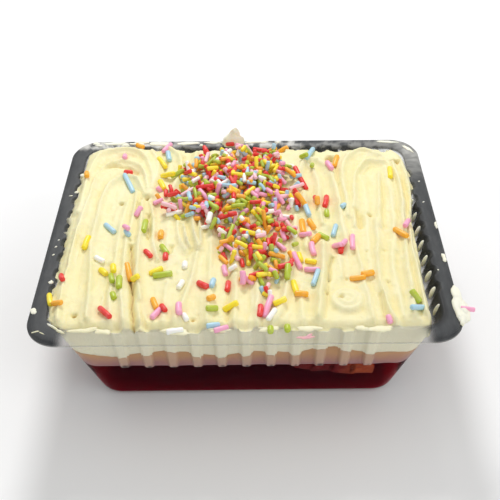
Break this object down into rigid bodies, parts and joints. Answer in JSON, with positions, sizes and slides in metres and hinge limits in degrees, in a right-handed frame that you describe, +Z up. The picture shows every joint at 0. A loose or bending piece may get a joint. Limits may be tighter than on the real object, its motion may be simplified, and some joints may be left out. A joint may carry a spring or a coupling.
{
  "type": "layered trifle in a clear tub",
  "caption": "Layered dessert of red jelly, custard and ribbed whipped cream in a clear fluted rectangular tub with a wide flat flange.",
  "frame": {"origin": "middle of the tub's flat underside", "axes": "+Z up, +X along the tub's long side, -Y to the front, where the layers show"},
  "size_m": [0.147, 0.1194, 0.0548],
  "materials": {
    "clear_plastic": "thin clear formed plastic, glossy, with a smoky look where the flange lies over a dark counter",
    "jelly": "wet dark red jelly, clearer and brighter at the corners",
    "custard": "soft set custard, pink where the jelly has coloured it",
    "cream": "whipped cream, slightly yellow, fine-grained, with spread ridges",
    "sprinkles": "sugar strands in red, green, yellow, orange, pink, blue and white",
    "fruit": "soaked sponge sunk in the jelly"
  },
  "bodies": {
    "root": {"tub": "clear_plastic", "jelly": "jelly", "custard": "custard", "cream": "cream", "cream_smear": "cream", "cream_peak": "cream"}
  },
  "joints": []
}
